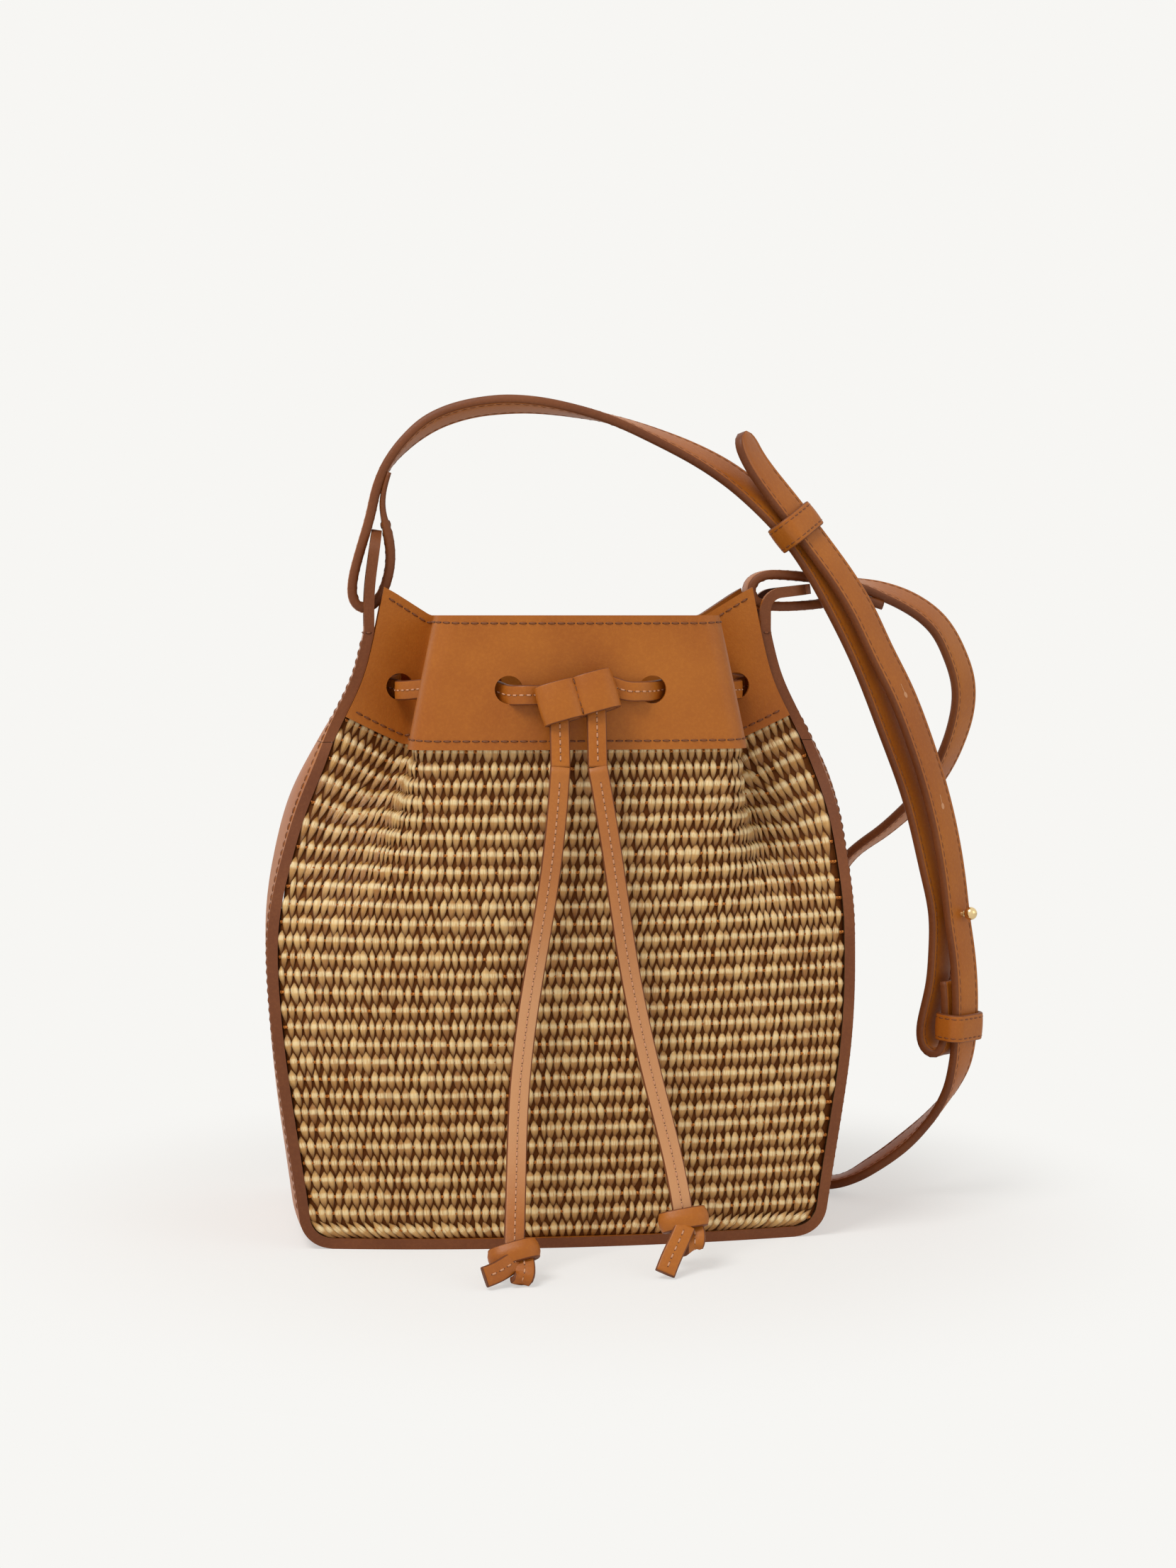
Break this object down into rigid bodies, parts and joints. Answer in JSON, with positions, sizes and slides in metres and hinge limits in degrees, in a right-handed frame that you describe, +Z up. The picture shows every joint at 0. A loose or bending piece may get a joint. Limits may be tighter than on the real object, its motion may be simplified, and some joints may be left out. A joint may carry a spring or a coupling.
{
  "type": "bucket bag",
  "caption": "Bucket bag of woven fibre with a leather base, side strips and drawstring collar, and a long buttoned shoulder strap.",
  "frame": {"origin": "centre of the flat base, on the floor", "axes": "+Z up to the strap's arch, +X to the bag's right seen from the front, +Y to the back; the slider faces -Y"},
  "size_m": [0.2782, 0.1901, 0.3087],
  "materials": {
    "leather": "smooth tan leather, satin",
    "woven_raffia": "woven raffia, matte",
    "lining_fabric": "plain weave, matte",
    "board": "covered board, matte",
    "brass": "polished pale gold"
  },
  "bodies": {
    "bag": {"base_panel": "leather", "base_board": "board", "left_gusset": "leather", "right_gusset": "leather", "left_tab": "leather", "right_tab": "leather", "front_woven_panel": "woven_raffia", "back_woven_panel": "woven_raffia", "front_lining": "lining_fabric", "back_lining": "lining_fabric", "front_collar": "leather", "back_collar": "leather", "drawstring_run": "leather"},
    "slider": {"drawstring_slider": "leather"},
    "left_tail": {"drawstring_left_tail": "leather", "left_knot": "leather"},
    "right_tail": {"drawstring_right_tail": "leather", "right_knot": "leather"},
    "strap": {"strap_stud_side": "leather", "strap_hole_side": "leather", "fixed_keeper": "leather", "stud_ball": "brass", "stud_screw": "brass"},
    "keeper": {"sliding_keeper": "leather"}
  },
  "joints": [
    {"name": "strap_swing", "type": "hinge", "parent": "bag", "child": "strap", "pos_m": [0, 0, 0.2325], "axis": [1, 0, 0], "range_deg": [0, 25], "deforming": ["right_tab"]},
    {"name": "keeper_slide", "type": "slide", "parent": "strap", "child": "keeper", "axis": [0.61, -0.0535, -0.7906], "range_m": [0, 0.008]},
    {"name": "slider_slide", "type": "slide", "parent": "bag", "child": "slider", "axis": [0, -0.2079, -0.9781], "range_m": [0, 0.008]},
    {"name": "left_tail_swing", "type": "hinge", "parent": "bag", "child": "left_tail", "pos_m": [-0.0036, -0.0673, 0.1746], "axis": [-1, 0, 0], "range_deg": [0, 45]},
    {"name": "right_tail_swing", "type": "hinge", "parent": "bag", "child": "right_tail", "pos_m": [0.0096, -0.0673, 0.1746], "axis": [-1, 0, 0], "range_deg": [0, 45]}
  ]
}
